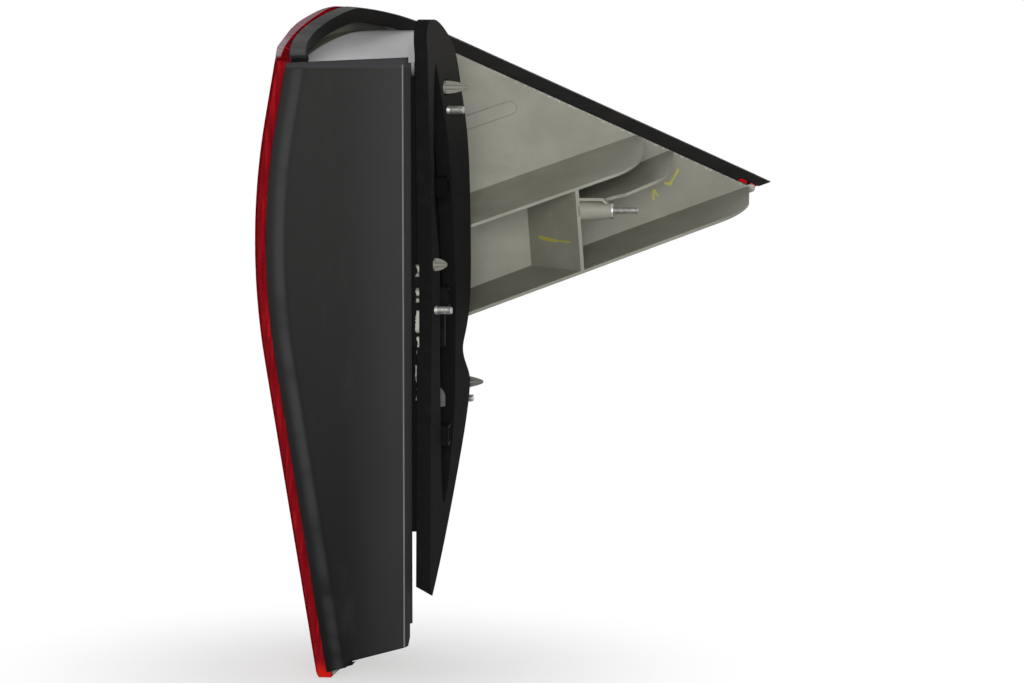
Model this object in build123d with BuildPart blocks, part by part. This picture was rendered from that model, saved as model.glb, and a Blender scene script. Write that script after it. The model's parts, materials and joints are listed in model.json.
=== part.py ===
"""Tail light cluster: a wrapped car rear lamp with its housing, lens, cover, seals, studs and bulbs.

Millimetres. +X is forward, along the mounting studs. +Y is outboard. +Z is up.
The origin is on the middle mounting stud's axis, where its free end leaves the shoulder.
"""
import os
from math import cos, radians, sin, tan

from build123d import *

os.makedirs("parts", exist_ok=True)

# Lens line seen from above: it starts inboard, wraps the corner and runs along the flank
WRAP_START = (-131.0, -18.0)
WRAP_HEADING = 106.6
REAR_RADIUS = 146.0
REAR_TURN = 44.5
CORNER_RADIUS = 93.0
CORNER_TURN = 46.0
FLANK_RADIUS = 4000.0
FLANK_TURN = 4.0

# Lens line seen from the side: two rakes joined by a soft knee
KNEE_X = -4.4
KNEE_Z = 50.0
UPPER_RAKE = 0.176
LOWER_RAKE = 0.158
KNEE_RADIUS = 530.0

# Outline of the lamp from the side and from the rear
TOP_Z = 216.5
BOTTOM_Z = -266.0
ROOF_Z = 198.0
ROOF_INBOARD_Z = 170.0
INBOARD_Y = -18.0
TOP_INBOARD_Z = 179.0
CREST = [(-96.0, 0.0), (-104.0, -5.0), (-112.0, -16.0), (-120.0, -36.0), (-200.0, -242.5)]
WING_TOP_AT_0 = 192.5
WING_TOP_SLOPE = -0.4665
WING_LOW_AT_0 = -2.5
WING_LOW_SLOPE = 0.353
WING_TIP_X = 228.5
BACK_X = -22.5
FOOT = [(-76.5, -266.0), (-70.0, -260.0), (-62.0, -252.5), (-42.5, -246.5)]
HOUSING_TIP = -5.5

# Lens and its weld to the housing
LENS_WALL = 3.0
LENS_DEPTH = 9.2
BEAD = 0.8
FLANGE = 2.0
WALL = 2.5
SKIN_DEPTH = 24.0
WINDOW = (4.0, 92.0, 57.0, 200.0)
WINDOW_RADIUS = 7.0
WINDOW_BORDER = 7.0

# Upper seal strip
STRIP_HEIGHT = 10.0
STRIP_WIDTH = 9.0
STRIP_PROUD = 0.5
STRIP_OVERHANG = 10.0
STRIP_START_Y = -9.5
NECK_X = 213.0
NECK_RISE = 3.2
PAD_LENGTH = 5.5
PAD_PROUD = 0.8

# Gasket, its land and the pedestal under it
LAND_ANGLE = 16.0
LAND_X = -11.5
GASKET = 10.3
PEDESTAL_INSET = 2.5
PEDESTAL_FOOT_Z = -160.0
HOLE_STEP = 2.0
TONGUE = 3.0
LIP_X = -12.7
LIP_Y = -8.5
LIP_WALL = 1.9
LIP_LOW_Z = -26.0
LIP_HIGH_Z = 34.0

# Studs and locating pins, as (y, z) positions
STUD_RADIUS = 3.0
SHOULDER_RADIUS = 3.4
SHOULDER_PROUD = 1.2
STUD_LENGTH = 22.0
STUD_ROOT = 9.0
MIDDLE_STUD = (0.0, 0.0)
UPPER_STUD = (24.5, 143.0)
LOWER_STUD = (78.0, -73.0)
LOWER_SEAT_X = -2.5
UPPER_PIN = (20.0, 159.5)
UPPER_PIN_TIP = 20.5
MIDDLE_PIN = (-1.0, 33.0)
MIDDLE_PIN_TIP = 7.0
LOWER_PIN = (80.0, -61.0)
LOWER_PIN_TIP = 26.5
PIN_RADIUS = 4.8
PIN_TIP_RADIUS = 1.1
PIN_RIB = 2.4
FIT = 0.3
LONG_PIN_FIT = 1.2
WING_STUD = (101.5, 65.5)
WING_SEAT_X = 120.5
WING_STUD_RADIUS = 2.5
WING_STUD_LENGTH = 20.0

# Wing ribs: all but the gusset are drawn along one tool direction
DRAW_ANGLE = 40.0
RIB_WALL = 2.5
SHELF_END_X = 222.5
RAIL_END_X = 143.5
GUSSET_END_X = 164.5
NEAR_Y_AT_0 = 70.9
NEAR_Y_SLOPE = 0.2466

# Bulbs and sockets, as (y, z) positions on the back wall
REVERSE_SPOT = (14.0, 88.0)
TAIL_SPOT = (22.0, 8.0)
TURN_SPOT = (20.5, -93.0)
BARREL = 9.5
SOCKET_FLANGE = 11.5
SOCKET_SEAL = 2.5
LUG = 2.4
SOCKET_TIP_X = 6.5
BARREL_END_X = -38.5
BULB_BASE = 6.5
BULB_GLASS = 9.0
BULB_END_X = -86.5
BOWL_RADIUS = 26.5
BOWL_HOLE = 9.0
BOWL_WALL = 1.5
BOWL_VERTEX_X = -42.5
BOWL_MOUTH_X = -122.5
VENT_SPOT = (20.0, -60.0)
BEZEL_DEPTH = 12.5
BEZEL_WALL = 1.5

# Inboard cover
COVER_FACE_Y = -22.5
COVER_WALL = 2.2
COVER_BACK_Y = -18.2
COVER_GAP = 6.5
COVER_RIM = 4.3
COVER_FRONT_X = -17.5
COVER_RETURN_Y = -13.5
COVER_ROLL = 15.0
COVER_TOP_Z = 182.0
COVER_FOOT_SLOPE = 0.27

FAR = 420.0


# Shapes that more than one piece is cut from
def corner(x, y):
    """The corner of the sketch being drawn that is nearest a point."""
    return vertices().sort_by_distance((x, y, 0))[:1]


def wrap_line(depth):
    """Draw the plan line moved inward by depth and return its two end points."""
    point = Vector(WRAP_START[0], WRAP_START[1])
    heading = WRAP_HEADING
    lead = 14.0
    tail = 0.7
    turns = [(REAR_RADIUS, REAR_TURN), (CORNER_RADIUS, CORNER_TURN), (FLANK_RADIUS, FLANK_TURN)]
    arcs = []
    for step, (radius, turn) in enumerate(turns):
        inward = Vector(sin(radians(heading)), -cos(radians(heading)))
        centre = point + inward * radius
        early = lead if step == 0 else 0.0
        late = tail if step == 2 else 0.0
        arc = CenterArc((centre.X, centre.Y), radius - depth, heading + 90 + early, -(turn + early + late))
        arcs.append(arc)
        heading -= turn
        point = centre - Vector(sin(radians(heading)), -cos(radians(heading))) * radius
    return arcs[0] @ 0, arcs[-1] @ 1


def side_shift(z):
    """Forward shift of the lens line at a height, without the knee's rounding."""
    rake = UPPER_RAKE if z > KNEE_Z else -LOWER_RAKE
    return KNEE_X + rake * (z - KNEE_Z)


def raised(section):
    """Sweep a plan section up the raked side line, always level."""
    low = BOTTOM_Z - 24
    high = TOP_Z + 24
    with BuildPart() as body:
        with BuildLine(Plane.XZ) as path:
            points = [(side_shift(low), low), (KNEE_X, KNEE_Z), (side_shift(high), high)]
            FilletPolyline(*points, radius=KNEE_RADIUS)
        placed = section.moved(Location((side_shift(low), 0, low)))
        sweep(placed, path=path.wires()[0], normal=(0, 0, 1))
    return body.part


def wrap_band(outer, inner):
    """Solid band between two depths behind the lens line."""
    with BuildSketch() as plan:
        with BuildLine():
            start_a, end_a = wrap_line(outer)
            start_b, end_b = wrap_line(inner)
            Line(start_a, start_b)
            Line(end_a, end_b)
        make_face()
    return raised(plan.sketch)


def wrap_inside(depth):
    """Solid of everything deeper than one depth behind the lens line."""
    with BuildSketch() as plan:
        with BuildLine():
            start, end = wrap_line(depth)
            Polyline(end, (end.X, -120), (start.X, -120), start)
        make_face()
    return raised(plan.sketch)


def envelope(inset=0.0, drop=0.0, tip=0.0):
    """Lamp outline from the side crossed with its outline from the rear."""
    top = TOP_Z - drop
    wing_top = WING_TOP_AT_0 - drop
    end = WING_TIP_X + tip
    shoulder = (top - wing_top) / WING_TOP_SLOPE
    wing_end = WING_TOP_AT_0 + WING_TOP_SLOPE * FAR - drop
    low_root = WING_LOW_AT_0 + WING_LOW_SLOPE * BACK_X
    with BuildPart() as body:
        with BuildSketch(Plane.XZ):
            crest = [(min(x, shoulder - 30), top + z) for x, z in CREST]
            Polygon((-200, -FAR), (FAR, -FAR), (FAR, wing_end), (shoulder, top), *crest, align=None)
            fillet(corner(shoulder, top), radius=min(200, 4 * (shoulder - crest[0][0])))
            with BuildSketch(Plane.XZ, mode=Mode.INTERSECT):
                Polygon(
                    (-FAR, FAR),
                    (-FAR, BOTTOM_Z),
                    *FOOT,
                    (BACK_X, -125),
                    (BACK_X, low_root),
                    (end, WING_LOW_AT_0 + WING_LOW_SLOPE * end),
                    (end, FAR),
                    align=None,
                )
                fillet(corner(BACK_X, low_root), radius=30)
            if inset:
                offset(amount=-inset, mode=Mode.REPLACE)
        extrude(amount=FAR, both=True)
        with BuildSketch(Plane.YZ):
            Polygon(
                (INBOARD_Y, BOTTOM_Z),
                (FAR, BOTTOM_Z + 36),
                (FAR, TOP_Z + 12 - drop),
                (100, TOP_Z - drop),
                (INBOARD_Y, TOP_INBOARD_Z - drop),
                align=None,
            )
            fillet(corner(100, TOP_Z - drop), radius=90)
            if inset:
                offset(amount=-inset, mode=Mode.REPLACE)
        extrude(amount=FAR, both=True, mode=Mode.INTERSECT)
    return body.part


def under_roof(drop=0.0):
    """Everything under the body's roof, which is lower than the lamp's top edge."""
    with BuildPart() as body:
        with BuildSketch(Plane.YZ):
            Polygon(
                (-60, -FAR),
                (FAR, -FAR),
                (FAR, ROOF_Z + 8 - drop),
                (100, ROOF_Z - drop),
                (INBOARD_Y, ROOF_INBOARD_Z - drop),
                (-60, ROOF_INBOARD_Z - drop),
                align=None,
            )
            fillet(corner(100, ROOF_Z - drop), radius=90)
        extrude(amount=FAR, both=True)
    return body.part


def block(x0, x1, y0, y1, z0, z1):
    """Plain block between six limits."""
    with BuildPart() as body:
        with Locations(((x0 + x1) / 2, (y0 + y1) / 2, (z0 + z1) / 2)):
            Box(x1 - x0, y1 - y0, z1 - z0)
    return body.part


def rod(x0, x1, spot, radius):
    """Round bar along X at a (y, z) spot."""
    with BuildPart() as body:
        with BuildSketch(Plane.YZ.offset(x0)):
            with Locations(spot):
                Circle(radius)
        extrude(amount=x1 - x0)
    return body.part


def land_at(y):
    """Height of the gasket land at a distance outboard."""
    return LAND_X + tan(radians(LAND_ANGLE)) * y


LAND_PLANE = Plane(
    origin=(LAND_X, 0, 0),
    x_dir=(sin(radians(LAND_ANGLE)), cos(radians(LAND_ANGLE)), 0),
    z_dir=(cos(radians(LAND_ANGLE)), -sin(radians(LAND_ANGLE)), 0),
)

full = envelope()
housing_full = envelope(tip=HOUSING_TIP)
wing_outside = envelope(drop=STRIP_HEIGHT, tip=HOUSING_TIP)
wing_inside = envelope(inset=WALL, drop=STRIP_HEIGHT, tip=HOUSING_TIP)
body_inside = envelope(inset=WALL)
socket_spots = [REVERSE_SPOT, TAIL_SPOT, TURN_SPOT]

# Lens shell: one moulding shot in red with a clear window in the upper rear face
with BuildPart() as lens_shell:
    add(wrap_band(0, LENS_DEPTH))
    add(full, mode=Mode.INTERSECT)
    with BuildPart(mode=Mode.SUBTRACT):
        add(wrap_band(LENS_WALL, LENS_DEPTH + 3))
        add(envelope(inset=LENS_WALL), mode=Mode.INTERSECT)

with BuildPart() as window:
    with BuildSketch(Plane.YZ.offset(-170)):
        with BuildLine():
            Polyline(
                (WINDOW[0], WINDOW[2]),
                (WINDOW[1], WINDOW[2]),
                (WINDOW[1], TOP_Z - WINDOW_BORDER - 3),
                (WINDOW[0], TOP_INBOARD_Z + 7 - WINDOW_BORDER),
                close=True,
            )
        make_face()
        fillet(vertices(), radius=WINDOW_RADIUS)
    extrude(amount=80)

with BuildPart() as red_lens:
    add(lens_shell.part)
    add(window.part, mode=Mode.SUBTRACT)
red_lens.part.label = "red_lens"
export_step(red_lens.part, "parts/red_lens.step")

with BuildPart() as clear_lens:
    add(lens_shell.part)
    add(window.part, mode=Mode.INTERSECT)
clear_lens.part.label = "clear_lens"
export_step(clear_lens.part, "parts/clear_lens.step")

# Bonding bead between the lens rim and the housing flange
HOUSING_DEPTH = LENS_DEPTH + BEAD
HOUSING_INBOARD_Y = INBOARD_Y + 1
with BuildPart() as lens_bead:
    add(wrap_band(LENS_DEPTH, HOUSING_DEPTH))
    add(housing_full, mode=Mode.INTERSECT)
    add(envelope(inset=WALL, tip=HOUSING_TIP), mode=Mode.SUBTRACT)
    add(block(-FAR, FAR, HOUSING_INBOARD_Y, FAR, -FAR, FAR), mode=Mode.INTERSECT)
lens_bead.part.label = "lens_bead"
export_step(lens_bead.part, "parts/lens_bead.step")

# Gasket outline and its hole, seen along X
NEAR_EDGE = [(-12.5, -200), (-11.5, -140), (-10.5, -64), (-8.5, -10), (-8.5, 44), (-11, 145), (-12.5, 184)]
FAR_EDGE = [
    (-12.5, 184), (-7, 208), (20, 200), (38, 185), (49, 160), (60, 130), (67, 80), (68.5, 38), (66.5, 2),
    (57, -23), (52.5, -32), (57, -43), (66, -56), (65, -68), (58, -88), (38, -129), (7, -184), (-9, -208),
]
HOLE_EDGE = [
    (3, 176), (9, 163), (15, 149), (22, 129), (31, 80), (36, 38), (38.5, 8), (37, -29), (32.5, -91),
    (13.5, -142), (9, -104), (8, -66), (7.5, -30), (7.5, 20), (5, 45), (-1, 70), (-3.5, 110), (-3.5, 150),
]


def outside_edge(inset=0.0):
    """Draw the gasket's outside edge, or that edge moved inward."""
    far = []
    for before, here, after in zip(FAR_EDGE[:1] + FAR_EDGE[:-1], FAR_EDGE, FAR_EDGE[1:] + FAR_EDGE[-1:]):
        along = (Vector(*after) - Vector(*before)).normalized()
        far.append((here[0] + inset * along.Y, here[1] - inset * along.X))
    near = [(y + inset, z) for y, z in NEAR_EDGE[:-1]] + [far[0]]
    Spline(*far)
    Polyline(*near)
    Line(far[-1], near[0])


def hole_edge(grow=0.0):
    """Draw the edge of the hole through the gasket's middle, or that edge moved outward."""
    moved = []
    for before, here, after in zip(HOLE_EDGE[-1:] + HOLE_EDGE[:-1], HOLE_EDGE, HOLE_EDGE[1:] + HOLE_EDGE[:1]):
        along = (Vector(*after) - Vector(*before)).normalized()
        moved.append((here[0] - grow * along.Y, here[1] + grow * along.X))
    Spline(*moved, periodic=True)


# Housing: open bowl and hollow wing, one grey moulding
DRAW = Vector(sin(radians(DRAW_ANGLE)), -cos(radians(DRAW_ANGLE)), 0)
DRAW_PLANE = Plane(origin=(0, 0, 0), x_dir=(-DRAW.Y, DRAW.X, 0), z_dir=DRAW)
RAIL_TILT = -0.132
RAIL_PLANE = Plane(origin=(0, 0, 22.0), z_dir=(-0.251, -0.383, 1))
SHELF_PLANE = Plane(origin=(0, 0, -33.5), z_dir=(-0.2995, -0.2487, 1))
STRIP_PLANE = Plane(origin=(0, 0, WING_TOP_AT_0 - STRIP_HEIGHT), z_dir=(-WING_TOP_SLOPE, 0, 1))
WEB_PLANE = Plane(origin=(90.8, 101.5, 65.5), z_dir=(-DRAW.Y, DRAW.X, 0.05))
behind_skin = wrap_inside(SKIN_DEPTH + WALL / 2)


def wing_rib(profile, end_x, radius, tilt=0.0):
    """Rib drawn near the tool direction, trimmed by the skin, the near edge and an end with a round corner."""
    near_end = NEAR_Y_AT_0 + NEAR_Y_SLOPE * end_x
    with BuildPart() as body:
        with BuildSketch(DRAW_PLANE):
            Polygon(*profile, align=None)
        extrude(amount=FAR, dir=(DRAW.X, DRAW.Y, tilt), both=True)
        with BuildSketch():
            Polygon(
                (BACK_X - 1, NEAR_Y_AT_0 + NEAR_Y_SLOPE * BACK_X),
                (end_x, near_end),
                (end_x, 260),
                (BACK_X - 1, 260),
                align=None,
            )
            fillet(corner(end_x, near_end), radius=radius)
        extrude(amount=FAR, both=True, mode=Mode.INTERSECT)
        add(behind_skin, mode=Mode.INTERSECT)
        split(bisect_by=STRIP_PLANE, keep=Keep.BOTTOM)
    return body.part


def shelf_z(across):
    """Top of the wing's bottom shelf across the draw direction."""
    return 5.3 + 0.390 * (across - 96.8)


def rail_z(across):
    """Top of the wing's upper rail across the draw direction."""
    return 23.0 + 0.4383 * across


def band_profile(height, start, end):
    """Rib profile of one wall thickness under a sloping top line."""
    top = [(start, height(start)), (end, height(end))]
    return top + [(end, height(end) - RIB_WALL), (start, height(start) - RIB_WALL)]


def cross_pin(spot, base, shoulder, tip):
    """Locating pin: a round-nosed bar that is cut down to two crossed ribs above its foot."""
    length = tip - base
    foot = shoulder - base
    nose = ((foot + length) / 2, 0.74 * PIN_RADIUS + 0.26 * PIN_TIP_RADIUS)
    with BuildPart() as body:
        with BuildSketch(Plane(origin=(base, *spot), x_dir=(1, 0, 0), z_dir=(0, -1, 0))):
            with BuildLine():
                Polyline((length, PIN_TIP_RADIUS), (length, 0), (0, 0), (0, PIN_RADIUS), (foot, PIN_RADIUS))
                ThreePointArc((foot, PIN_RADIUS), nose, (length, PIN_TIP_RADIUS))
            make_face()
        revolve(axis=Axis((base, *spot), (1, 0, 0)))
        with BuildPart(mode=Mode.INTERSECT):
            with Locations(((base + tip) / 2, *spot)):
                Box(length, PIN_RIB, 4 * PIN_RADIUS)
                Box(length, 4 * PIN_RADIUS, PIN_RIB)
            with Locations((base + foot / 2, *spot)):
                Box(foot, 4 * PIN_RADIUS, 4 * PIN_RADIUS)
    return body.part


with BuildPart() as pedestal:
    with BuildSketch(Plane.YZ.offset(BACK_X - WALL / 2)):
        with BuildLine():
            outside_edge(PEDESTAL_INSET)
        make_face()
        with BuildLine():
            hole_edge(HOLE_STEP)
        make_face(mode=Mode.SUBTRACT)
        Polygon((-40, -FAR), (100, -FAR), (100, 205), (30, 190), (-40, 168), align=None, mode=Mode.INTERSECT)
    extrude(amount=80)
    split(bisect_by=LAND_PLANE, keep=Keep.BOTTOM)
    add(block(-FAR, FAR, -FAR, FAR, PEDESTAL_FOOT_Z, FAR), mode=Mode.INTERSECT)

with BuildPart() as tongue:
    with BuildSketch(Plane.YZ.offset(-40)):
        with BuildLine():
            outside_edge(PEDESTAL_INSET)
        make_face()
        with Locations((26, PEDESTAL_FOOT_Z - 14)):
            Rectangle(50, 50, mode=Mode.INTERSECT)
    extrude(amount=120)
    split(bisect_by=LAND_PLANE, keep=Keep.BOTTOM)
    split(bisect_by=LAND_PLANE.offset(-TONGUE), keep=Keep.TOP)

with BuildPart() as cores:
    with BuildSketch(Plane.YZ.offset(BACK_X - WALL - 1)):
        Polygon((44, 98), (55, 98), (60, 60), (61.5, 38), (59, 6), (50, -14), (44, -14), align=None)
        Polygon((42, -46), (56, -59), (56, -66), (42, -98), align=None)
    extrude(amount=80)
    split(bisect_by=LAND_PLANE.offset(-WALL), keep=Keep.BOTTOM)

with BuildPart() as lamp_housing:
    add(wrap_inside(HOUSING_DEPTH))
    add(full, mode=Mode.INTERSECT)
    add(under_roof(), mode=Mode.INTERSECT)
    add(block(-FAR, BACK_X, HOUSING_INBOARD_Y, FAR, -FAR, FAR), mode=Mode.INTERSECT)
    with BuildPart():
        add(wrap_band(HOUSING_DEPTH, SKIN_DEPTH + WALL))
        add(wing_outside, mode=Mode.INTERSECT)
        add(block(BACK_X - 6, FAR, 0, FAR, -FAR, FAR), mode=Mode.INTERSECT)
    with BuildPart():
        add(wrap_band(HOUSING_DEPTH, HOUSING_DEPTH + FLANGE))
        add(wing_outside, mode=Mode.INTERSECT)
        add(block(-FAR, FAR, HOUSING_INBOARD_Y, FAR, -FAR, FAR), mode=Mode.INTERSECT)
    # Hollow of the body, then of the wing
    with BuildPart(mode=Mode.SUBTRACT):
        add(wrap_inside(HOUSING_DEPTH - 2))
        add(body_inside, mode=Mode.INTERSECT)
        add(under_roof(WALL), mode=Mode.INTERSECT)
        add(block(-FAR, BACK_X - WALL, HOUSING_INBOARD_Y + WALL, FAR, -FAR, FAR), mode=Mode.INTERSECT)
    with BuildPart(mode=Mode.SUBTRACT):
        add(wrap_band(HOUSING_DEPTH - 2, SKIN_DEPTH))
        add(wing_inside, mode=Mode.INTERSECT)
        add(block(BACK_X - 8, FAR, 0, FAR, -FAR, FAR), mode=Mode.INTERSECT)
    # Pedestal for the gasket
    add(pedestal.part)
    add(tongue.part)
    add(rod(BACK_X - WALL / 2, land_at(MIDDLE_STUD[0] - 6), MIDDLE_STUD, 6))
    add(block(BACK_X - 1, LIP_X, LIP_Y, LIP_Y + LIP_WALL, LIP_LOW_Z, LIP_HIGH_Z))
    add(block(BACK_X - 1, land_at(LIP_Y) - 0.5, LIP_Y, LIP_Y + 3, LIP_LOW_Z, LIP_HIGH_Z))
    # Wing ribs, gusset and the wing stud's boss
    add(wing_rib(band_profile(shelf_z, 30, 330), SHELF_END_X, 26))
    add(wing_rib(band_profile(rail_z, 30, 250), RAIL_END_X, 26, tilt=RAIL_TILT))
    with BuildPart():
        add(wing_rib([(131.2, 100.0), (133.7, 100.0), (139.8, 8.0), (137.3, 8.0)], RAIL_END_X, 2))
        split(bisect_by=RAIL_PLANE, keep=Keep.BOTTOM)
        split(bisect_by=SHELF_PLANE, keep=Keep.TOP)
    with BuildPart():
        with BuildSketch(Plane.XZ.offset(-185)):
            Polygon((90, 87.3), (GUSSET_END_X, 113.0), (GUSSET_END_X, 110.4), (90, 84.7), align=None)
        extrude(amount=120, dir=(0, -0.9617, -0.2741))
        with BuildSketch():
            near_end = (GUSSET_END_X, NEAR_Y_AT_0 + NEAR_Y_SLOPE * GUSSET_END_X)
            Polygon((85, 112), (124, 106), (131, 103.2), near_end, (GUSSET_END_X, 260), (85, 260), align=None)
            fillet(corner(*near_end), radius=16)
        extrude(amount=FAR, both=True, mode=Mode.INTERSECT)
        add(behind_skin, mode=Mode.INTERSECT)
        split(bisect_by=WEB_PLANE, keep=Keep.TOP)
        split(bisect_by=STRIP_PLANE, keep=Keep.BOTTOM)
    with BuildPart():
        with Locations(Location((80, *WING_STUD), (0, 90, 0))):
            Cone(9.5, 6, WING_SEAT_X - 80, align=(Align.CENTER, Align.CENTER, Align.MIN))
        with BuildSketch(Plane.XZ.offset(-WING_STUD[0])):
            Polygon((80, 75), (114.5, 75), (119.5, 70), (119.5, 66), (80, 66), align=None)
        extrude(amount=1.3, both=True)
        with BuildSketch(Plane.XZ.offset(-WING_STUD[0])):
            Polygon((80, 75), (114.5, 75), (118.5, 71), (116.5, 70), (113.5, 72.8), (80, 72.8), align=None)
        extrude(amount=6.5, both=True)
        split(bisect_by=WEB_PLANE, keep=Keep.TOP)
    # Shallow raised pad on the wing's skin and the rounded tab at its tip
    with BuildPart():
        with BuildSketch(Plane.XZ.offset(-220)):
            with Locations((25.0, 134.0)):
                SlotCenterToCenter(37, 10, rotation=18.9)
        extrude(amount=150)
        add(wrap_band(SKIN_DEPTH + WALL - 0.5, SKIN_DEPTH + WALL + 1.4), mode=Mode.INTERSECT)
    with BuildPart():
        with BuildSketch(Plane.XZ.offset(-220)):
            with Locations((220.5, 76.5)):
                SlotCenterToCenter(7, 6, rotation=18)
        extrude(amount=120)
        add(wrap_band(SKIN_DEPTH - 3, SKIN_DEPTH + WALL), mode=Mode.INTERSECT)
    # Tower for the lower stud and pin
    with BuildSketch(Plane.YZ.offset(BACK_X - WALL / 2)):
        with Locations(LOWER_STUD):
            Circle(6.5)
        with Locations(LOWER_PIN):
            Circle(6.5)
        with Locations(((LOWER_STUD[0] + LOWER_PIN[0]) / 2, (LOWER_STUD[1] + LOWER_PIN[1]) / 2)):
            Rectangle(13, LOWER_PIN[1] - LOWER_STUD[1])
    extrude(amount=LOWER_SEAT_X - BACK_X + WALL / 2)
    # Stiffeners on the outboard half of the back wall
    for rib_y in (96.0, 120.0):
        add(block(BACK_X - 1, BACK_X + 5, rib_y - 1, rib_y + 1, -118, -22))
    for rib_z in (-104.0, -36.0):
        add(block(BACK_X - 1, BACK_X + 5, 74, 128, rib_z - 1, rib_z + 1))
    # Locating pins
    for spot, tip in ((UPPER_PIN, UPPER_PIN_TIP), (MIDDLE_PIN, MIDDLE_PIN_TIP)):
        add(cross_pin(spot, land_at(spot[0]) - 2, land_at(spot[0]) + GASKET, tip))
    add(cross_pin(LOWER_PIN, LOWER_SEAT_X - 1, LOWER_SEAT_X + 12, LOWER_PIN_TIP))
    # Cores, stud bores, socket wells and socket holes with lug notches
    add(cores.part, mode=Mode.SUBTRACT)
    for spot in (MIDDLE_STUD, UPPER_STUD):
        add(rod(land_at(spot[0]) - STUD_ROOT, 60, spot, SHOULDER_RADIUS), mode=Mode.SUBTRACT)
    add(rod(LOWER_SEAT_X - STUD_ROOT, 60, LOWER_STUD, SHOULDER_RADIUS), mode=Mode.SUBTRACT)
    add(rod(WING_SEAT_X - STUD_ROOT, WING_SEAT_X + 9, WING_STUD, WING_STUD_RADIUS), mode=Mode.SUBTRACT)
    for spot in socket_spots:
        add(rod(BACK_X, 60, spot, SOCKET_FLANGE + 1), mode=Mode.SUBTRACT)
        add(rod(BACK_X - WALL - 1, BACK_X + 1, spot, BARREL + FIT), mode=Mode.SUBTRACT)
        with BuildSketch(Plane.YZ.offset(BACK_X - WALL - 1)):
            with Locations(spot):
                with PolarLocations(BARREL, 3, start_angle=45):
                    Rectangle(2 * LUG + 1, 5.6)
        extrude(amount=WALL + 1.5, mode=Mode.SUBTRACT)
    add(rod(BACK_X - WALL - 1, BACK_X + 1, VENT_SPOT, 4), mode=Mode.SUBTRACT)
lamp_housing.part.label = "lamp_housing"
export_step(lamp_housing.part, "parts/lamp_housing.step")

# Upper seal strip along the top edge, and the foam pad on its inboard end
STRIP_DEPTH = HOUSING_DEPTH + FLANGE
strip_band = wrap_band(HOUSING_DEPTH, STRIP_DEPTH + STRIP_WIDTH)


def strip_low(x):
    """Underside of the strip along the wing."""
    return WING_TOP_AT_0 + WING_TOP_SLOPE * x - STRIP_HEIGHT


strip_outside = envelope(drop=-STRIP_PROUD, tip=STRIP_OVERHANG)
strip_below = envelope(drop=STRIP_HEIGHT, tip=4 * STRIP_OVERHANG)
with BuildPart() as seal_strip:
    add(strip_band)
    add(strip_outside, mode=Mode.INTERSECT)
    add(strip_below, mode=Mode.SUBTRACT)
    add(block(-FAR, FAR, STRIP_START_Y, FAR, 0, FAR), mode=Mode.INTERSECT)
    with BuildPart(mode=Mode.SUBTRACT):
        add(under_roof())
        add(block(-FAR, BACK_X, -FAR, FAR, 0, FAR), mode=Mode.INTERSECT)
    # Thinner end over the lens's tip
    with BuildSketch(Plane.XZ):
        Polygon(
            (NECK_X, strip_low(NECK_X)),
            (NECK_X + NECK_RISE, strip_low(NECK_X) + NECK_RISE / 2),
            (FAR, strip_low(FAR) + NECK_RISE),
            (FAR, strip_low(FAR) - 60),
            (NECK_X, strip_low(NECK_X) - 60),
            align=None,
        )
    extrude(amount=FAR, both=True, mode=Mode.SUBTRACT)
    add(lamp_housing.part, mode=Mode.SUBTRACT)
seal_strip.part.label = "seal_strip"
export_step(seal_strip.part, "parts/seal_strip.step")

with BuildPart() as strip_end_pad:
    add(wrap_band(HOUSING_DEPTH, STRIP_DEPTH + STRIP_WIDTH + PAD_PROUD))
    add(envelope(drop=-STRIP_PROUD - PAD_PROUD), mode=Mode.INTERSECT)
    add(strip_below, mode=Mode.SUBTRACT)
    add(block(-FAR, 0, STRIP_START_Y - PAD_LENGTH, STRIP_START_Y, 0, FAR), mode=Mode.INTERSECT)
    add(lamp_housing.part, mode=Mode.SUBTRACT)
strip_end_pad.part.label = "strip_end_pad"
export_step(strip_end_pad.part, "parts/strip_end_pad.step")

# Foam gasket between two tilted planes, with holes for the studs and pins
with BuildPart() as mounting_gasket:
    with BuildSketch(Plane.YZ.offset(-60)):
        with BuildLine():
            outside_edge()
        make_face()
        with BuildLine():
            hole_edge()
        make_face(mode=Mode.SUBTRACT)
        for spot in (MIDDLE_STUD, UPPER_STUD):
            with Locations(spot):
                Circle(SHOULDER_RADIUS + FIT, mode=Mode.SUBTRACT)
        for spot, gap in ((MIDDLE_PIN, FIT), (UPPER_PIN, LONG_PIN_FIT)):
            with Locations(spot):
                Circle(PIN_RADIUS + gap, mode=Mode.SUBTRACT)
    extrude(amount=160)
    split(bisect_by=LAND_PLANE, keep=Keep.TOP)
    split(bisect_by=LAND_PLANE.offset(GASKET * cos(radians(LAND_ANGLE))), keep=Keep.BOTTOM)
    add(
        block(-60, LIP_X + 0.1, -60, LIP_Y + LIP_WALL + 0.1, LIP_LOW_Z - 0.1, LIP_HIGH_Z + 0.1),
        mode=Mode.SUBTRACT,
    )
    split(bisect_by=Plane(origin=(-5, 0, -206), z_dir=(0.62, 0, 1)), keep=Keep.TOP)
mounting_gasket.part.label = "mounting_gasket"
export_step(mounting_gasket.part, "parts/mounting_gasket.step")


# Pressed-in studs: a root in the housing, a shoulder through the gasket and a free end
def stud(spot, seat, shoulder):
    """Mounting stud along X with a chamfered free end."""
    with BuildPart() as body:
        add(rod(seat - STUD_ROOT, shoulder, spot, SHOULDER_RADIUS))
        add(rod(shoulder, seat + STUD_LENGTH, spot, STUD_RADIUS))
        chamfer(body.faces().sort_by(Axis.X)[-1].edges(), length=0.9)
    return body.part


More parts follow.
